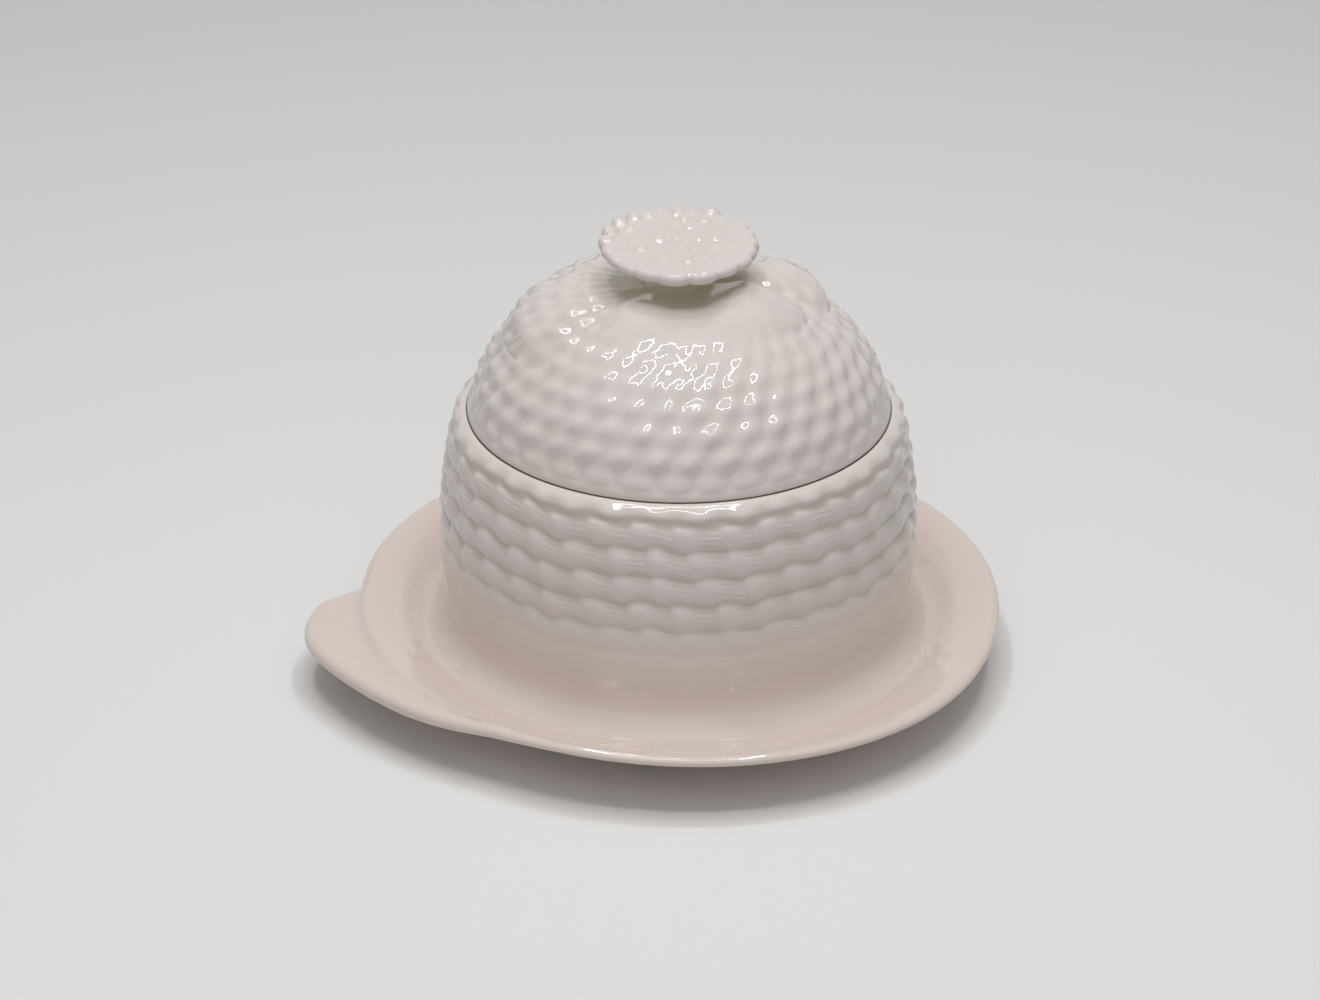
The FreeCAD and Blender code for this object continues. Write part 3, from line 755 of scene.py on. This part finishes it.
# Saucer
saucerShape = {
    # rings of the seat, slope, plate, edge and underside
    "rings": (4, 28, 36, 10, 22), "steps": 11, "doublings": 6,
    "seat": 61, "slopeStart": 65, "slopeEnd": 76, "radius": 82,
    "rim": 16.9, "rimCentre": 80, "rimHalf": 1.35, "edgeWidth": 2.0,
    "tabRoot": 16.3, "tabEdge": 12.8, "tabHalf": 2.0, "tabDip": 0.35,
    "ridge": 1.3, "ridgeWidth": 2.0,
    # compass degrees over which each of these comes in behind the tab and goes out before it
    "lowTurn": ((148, 176), (203, 236)), "rootTurn": ((156, 186), (203, 236)),
    "ridgeTurn": ((155, 166), (184, 201)), "shiftTurn": ((150, 162), (164, 188)),
    "rear": 166, "rearSpan": 0.14, "rearSqueeze": 0.7, "rearShift": 2.0,
    "footHeight": 4.5, "footRadius": 53, "footWidth": 5.5, "footTaper": 0.6, "sag": 1.2,
    "warp": 0.016, "warpRing": (64, 78), "warpFront": (10, -50),
    "unround": ((303, 1.5), (243, -1.1)), "unroundSpan": 26,
}
saucerRelief = {
    "ring": 64.9, "ringWidth": 1.2, "ringHeight": 0.66, "ringStitch": 0.10, "ringLean": 1.2,
    "ringSway": ((0.08, 23, 0),), "rowMiddle": 70, "rowLean": 0.3,
    "weaveRing": ((65.5, 67.5), (73.0, 75.5)), "firstRow": 66, "rowPitch": 4.2, "rowHeight": 0.06,
    "stitches": 58, "stitchHeight": 0.09, "flutes": 0.15, "fluteCount": 62, "fluteCentre": 187,
    "poolAndPaintedLight": 0.45, "poolAndLightRing": 64.5, "poolAndLightWidth": 2.2, "footStain": 0.25,
}


def saucerOutline(turn):  # furthest reach of the saucer in each direction, from the frame
    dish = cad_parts["saucer"]
    spots = readSpots(dish)
    ends = np.zeros(len(dish.data.edges) * 2, int)
    dish.data.edges.foreach_get("vertices", ends)
    a, b = spots[ends[0::2]], spots[ends[1::2]]
    keep = np.hypot(a[:, 0], a[:, 1]) > saucerShape["radius"] - 3
    a, b = a[keep], b[keep]
    bins, blur, soft = 1440, 12, 6.5  # quarter degrees
    compass = np.linspace(-math.pi, math.pi, bins + 1)
    far = np.full(len(compass), float(saucerShape["radius"]))
    for share in np.linspace(0, 1, 41):
        p = a + (b - a) * share
        slot = np.round((np.arctan2(p[:, 1], p[:, 0]) + math.pi) / fullTurn * bins).astype(int)
        np.maximum.at(far, slot, np.hypot(p[:, 0], p[:, 1]))
    far[0] = far[-1] = max(far[0], far[-1])
    kernel = hill(np.arange(-blur, blur + 1), soft)
    wide = np.concatenate([far[-blur - 1:-1], far, far[1:blur + 1]])
    far = np.convolve(wide, kernel / kernel.sum(), "valid")
    return np.interp(turn, compass, far)


def makeSaucer():
    shape, fine = saucerShape, saucerRelief
    marks = np.cumsum(shape["rings"])
    edgeRings, underRings = shape["rings"][3:]
    # a plain plate first: ring number as radius, so that each ring keeps its place
    points = [(0, 3.0)] + lineRun((0, 3.0), (10, 3.0), int(marks[2]))
    points += lineRun((10, 3.0), (10, 2.0), edgeRings)
    points += lineRun((10, 2.0), (5, 1.0), underRings)
    footTop = len(points) - 1
    points += [(5, 0.5), (4.5, 0.5), (4.5, 1.0)]
    points += lineRun((4.5, 1.0), (0, 1.0), 3)
    saucer, place, turn = spinProfile("saucerDish", points, shape["steps"], shape["doublings"])
    # more of the turns go to the thumb tab's steep rear edge
    gap = np.radians(turnGap(turn, shape["rear"]))
    squeeze = shape["rearSqueeze"] * shape["rearSpan"] * np.tanh(gap / shape["rearSpan"])
    turn = np.radians(shape["rear"]) + gap - squeeze * (1 - np.abs(gap) / math.pi)
    turn = np.arctan2(np.sin(turn), np.cos(turn))
    compass = np.degrees(turn % fullTurn)
    shift = shape["rearShift"] * between(compass, *shape["shiftTurn"])
    outer = saucerOutline(turn - np.radians(shift))
    for direction, out in shape["unround"]:  # it left the kiln a little out of round
        outer = outer + out * hill(turnGap(turn, direction), shape["unroundSpan"])
    # the tab lies lower than the rim: soon behind, and by and by along the front
    low = between(compass, *shape["lowTurn"])

    def span(k):  # share of the way through the k-th run of rings
        start = 0 if k == 0 else marks[k - 1]
        return np.clip((place - start) / (marks[k] - start), 0, 1)

    seat, slope, plate, edge, under = (span(k) for k in range(5))
    flat = shape["edgeWidth"]
    radius = shape["seat"] * seat + (shape["slopeEnd"] - shape["seat"]) * slope
    radius = radius + (outer - flat - shape["slopeEnd"]) * plate
    # the dish climbs smoothly to the rim, and the tab goes on from there
    half = shape["rimHalf"] + (shape["tabHalf"] - shape["rimHalf"]) * low
    rimMiddle = shape["rim"] - shape["rimHalf"]
    middle = rimMiddle + (shape["tabEdge"] - rimMiddle) * low
    level = shape["rim"] + (shape["tabRoot"] - shape["rim"]) * between(compass, *shape["rootTurn"])
    slopeStart = shape["slopeStart"]
    climb = np.clip((radius - slopeStart) / (shape["rimCentre"] - slopeStart), 0, 1)
    height = seatHeight + (level - seatHeight) * (0.6 * climb + 0.4 * softStep(0, 1, climb))
    out = np.maximum(radius - shape["rimCentre"], 0)
    beyond = np.clip(out / np.maximum(outer - flat - shape["rimCentre"], 0.5), 0, 1)
    # the tab starts below a ridge and dips along its middle
    drop = shape["ridge"] * low * between(compass, *shape["ridgeTurn"])
    height = height - drop * (1 - hill(out, shape["ridgeWidth"])) * (1 - beyond)
    dip = shape["tabDip"] * low * np.sin(math.pi * beyond)
    height = height + (middle + half - level) * beyond - dip
    roll = math.pi * edge
    radius = np.where(edge > 0, outer - flat + flat * np.sin(roll), radius)
    height = np.where(edge > 0, middle + half * np.cos(roll), height)
    # underside: back to the dish and down to the foot ring
    foot, footHeight = shape["footRadius"], shape["footHeight"]
    inner = foot + (outer - flat - foot) * (1 - under)
    dishShare = np.clip((inner - foot) / (shape["rimCentre"] - foot), 0, 1)
    dish = footHeight + (shape["rim"] - 2 * shape["rimHalf"] - footHeight) * dishShare
    dish = np.minimum(dish - 4 * shape["sag"] * dishShare * (1 - dishShare), middle - half)
    radius = np.where(under > 0, inner, radius)
    height = np.where(under > 0, dish, height)
    hollowEdge = foot - shape["footWidth"]
    footRing = [(foot - shape["footTaper"], 0), (hollowEdge, 0), (hollowEdge, footHeight)]
    footRing += lineRun((hollowEdge, footHeight), (0, footHeight), 3)
    for i, (r, z) in enumerate(footRing):
        here = place == footTop + 1 + i
        radius = np.where(here, r, radius)
        height = np.where(here, z, height)

    # a soft ring where the pot stands, faint woven rows round it and flutes on the tab
    onTop = place <= marks[2]
    rows = (radius - fine["firstRow"]) / fine["rowPitch"]
    lean = math.pi * np.floor(rows) + (radius - fine["rowMiddle"]) * fine["rowLean"]
    stitch = np.cos(turn * fine["stitches"] + lean)
    woven = fine["rowHeight"] * np.cos(fullTurn * rows)
    woven = woven + fine["stitchHeight"] * stitch * np.sin(math.pi * (rows - np.floor(rows))) ** 2
    woven = woven * between(radius, *fine["weaveRing"])
    stitch = np.cos(turn * fine["stitches"] + radius * fine["ringLean"])
    ring = fine["ringHeight"] + fine["ringStitch"] * stitch
    ring = (ring + waver(turn, fine["ringSway"])) * hill(radius - fine["ring"], fine["ringWidth"])
    fluteTurn = np.radians(turnGap(turn, fine["fluteCentre"]))
    flutes = fine["flutes"] * np.cos(fluteTurn * fine["fluteCount"])
    flutes = flutes * low * np.sin(math.pi * beyond) ** 2
    height = height + np.where(onTop, woven + ring + flutes, 0)
    side, back = radius * np.cos(turn + viewTurn), radius * np.sin(turn + viewTurn)
    front = softStep(*shape["warpFront"], back)
    height = height - shape["warp"] * side * softStep(*shape["warpRing"], radius) * front
    writeSpots(saucer, radius, height, turn)
    # painted shade in the woven grooves and between the flutes
    hollowShade = np.where(onTop, np.clip(-1.5 * woven - 1.2 * flutes, 0, 1), 0)
    # the pool colour round the pot's foot: glaze pooling at the joint, painted lighter than the dish
    poolAndPaintedLight = np.where(onTop, fine["poolAndPaintedLight"] * hill(radius - fine["poolAndLightRing"], fine["poolAndLightWidth"]), 0)
    bare = (place > footTop) & (place < footTop + 3) & (height < 0.3)
    writeTints(saucer, hollowShade, poolAndPaintedLight, np.where(bare, fine["footStain"], 0))
    finishPiece(saucer, glazes["saucer"], "pot", ["saucer"])


makeSaucer()


# Floor, light and camera
stageLook = {  # lengths of stage and lamps in metres
    "floor": (0.80, 0.795, 0.785, 1), "floorSize": 8, "floorRoughness": 0.75,
    "floorCloud": (1.5, 2), "cloudRange": (0.3, 0.7, 0, 0.12),
    "backdrop": (0.86, 0.855, 0.85, 1), "ambient": 0.2,
}
lampSet = {
    "top": {"size": 2.2, "power": 8.0, "place": (-0.1, -0.25, 1.6)},
    "front": {"size": 1.4, "power": 2.6, "place": (-0.5, -1.6, 0.9)},
    "strips": {"length": 0.44, "width": 0.025, "power": 1.4, "distance": 1.0, "lift": 85},
}
photoView = {
    "side": -4.67, "back": 668.4, "height": 402.5, "pitch": 28.338,
    "focal": 3000, "wide": 1320, "sensor": 36,  # focal length and picture width in pixels
}


def makeStage():
    bpy.ops.object.select_all(action="DESELECT")
    bpy.ops.mesh.primitive_plane_add(size=stageLook["floorSize"])
    floor = bpy.context.object
    floor.name = "paleFloor"
    paint = bpy.data.materials.new("floorPaint")
    paint.use_nodes = True
    tree = paint.node_tree
    shader = tree.nodes["Principled BSDF"]
    shader.inputs["Roughness"].default_value = stageLook["floorRoughness"]
    coords = tree.nodes.new("ShaderNodeTexCoord").outputs["Object"]
    cloud = linkNoise(tree, coords, *stageLook["floorCloud"])
    cloud = linkRange(tree, cloud, *stageLook["cloudRange"])
    tone = linkMix(tree, cloud, stageLook["floor"], stageLook["backdrop"])
    tree.links.new(tone, shader.inputs["Base Color"])
    floor.data.materials.append(paint)

    world = bpy.data.worlds.new("paleRoom")
    world.use_nodes = True
    bpy.context.scene.world = world
    tree = world.node_tree
    tree.nodes.clear()
    rays = tree.nodes.new("ShaderNodeLightPath")
    ambient = tree.nodes.new("ShaderNodeBackground")
    ambient.inputs["Color"].default_value = stageLook["backdrop"]
    ambient.inputs["Strength"].default_value = stageLook["ambient"]
    shown = tree.nodes.new("ShaderNodeBackground")
    shown.inputs["Color"].default_value = stageLook["backdrop"]
    shown.inputs["Strength"].default_value = 1
    seen = rays.outputs["Is Camera Ray"]
    for name in ("Is Glossy Ray", "Is Transmission Ray"):
        either = tree.nodes.new("ShaderNodeMath")
        either.operation = "MAXIMUM"
        tree.links.new(seen, either.inputs[0])
        tree.links.new(rays.outputs[name], either.inputs[1])
        seen = either.outputs["Value"]
    mix = tree.nodes.new("ShaderNodeMixShader")
    tree.links.new(seen, mix.inputs["Fac"])
    tree.links.new(ambient.outputs["Background"], mix.inputs[1])
    tree.links.new(shown.outputs["Background"], mix.inputs[2])
    out = tree.nodes.new("ShaderNodeOutputWorld")
    tree.links.new(mix.outputs["Shader"], out.inputs["Surface"])


def aimLamp(name, place, target, wide, tall, power):
    data = bpy.data.lights.new(name, "AREA")
    data.shape = "RECTANGLE"
    data.size = wide
    data.size_y = tall
    data.energy = power
    lamp = bpy.data.objects.new(name, data)
    bpy.context.scene.collection.objects.link(lamp)
    lamp.location = place
    aim = target - lamp.location
    lamp.rotation_euler = aim.to_track_quat("-Z", "Y").to_euler()
    lamp.visible_camera = False
    return lamp


def makeLamps():
    middle = (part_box("hive_pot")[0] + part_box("hive_pot")[1]) / 2
    for name in ("top", "front"):
        lamp = lampSet[name]
        aimLamp(name + "Softbox", lamp["place"], middle, lamp["size"], lamp["size"], lamp["power"])
    # four thin strips in a square, seen in the glaze as small bright loops
    strips = lampSet["strips"]
    lift = math.radians(strips["lift"])
    heading = -math.pi / 2 - viewTurn
    away = middle.copy()
    away.x = math.cos(lift) * math.cos(heading)
    away.y = math.cos(lift) * math.sin(heading)
    away.z = math.sin(lift)
    centre = middle + away * strips["distance"]
    sideways = away.copy()
    sideways.x, sideways.y, sideways.z = -math.sin(heading), math.cos(heading), 0
    upward = away.cross(sideways)
    half = strips["length"] / 2
    edges = ((sideways, upward), (sideways, -upward), (upward, sideways), (upward, -sideways))
    for i, (along, off) in enumerate(edges):
        lamp = aimLamp("strip" + str(i + 1), centre + off * half, middle, strips["length"],
                       strips["width"], strips["power"])
        back = (lamp.location - middle).normalized()
        lamp.rotation_euler = stripTurn(along, back)


def stripTurn(along, back):  # long side along its edge of the square, face to the pot
    across = back.cross(along).normalized()
    along = across.cross(back)
    turn = back.to_track_quat("Z", "Y").to_matrix()
    turn.col[0], turn.col[1], turn.col[2] = along, across, back
    return turn.to_euler()


def makeCamera():
    view = photoView
    data = bpy.data.cameras.new("photoCamera")
    data.sensor_fit = "HORIZONTAL"
    data.sensor_width = view["sensor"]
    data.lens = view["sensor"] * view["focal"] / view["wide"]
    camera = bpy.data.objects.new("photoCamera", data)
    bpy.context.scene.collection.objects.link(camera)
    x, y = view["side"], -view["back"]
    camera.location = ((x * math.cos(viewTurn) + y * math.sin(viewTurn)) * mm,
                       (y * math.cos(viewTurn) - x * math.sin(viewTurn)) * mm, view["height"] * mm)
    camera.rotation_euler = (math.radians(90 - view["pitch"]), 0, -viewTurn)
    bpy.context.scene.camera = camera


makeStage()
makeLamps()
makeCamera()
bpy.context.scene.view_settings.view_transform = "Standard"
print("stage set")
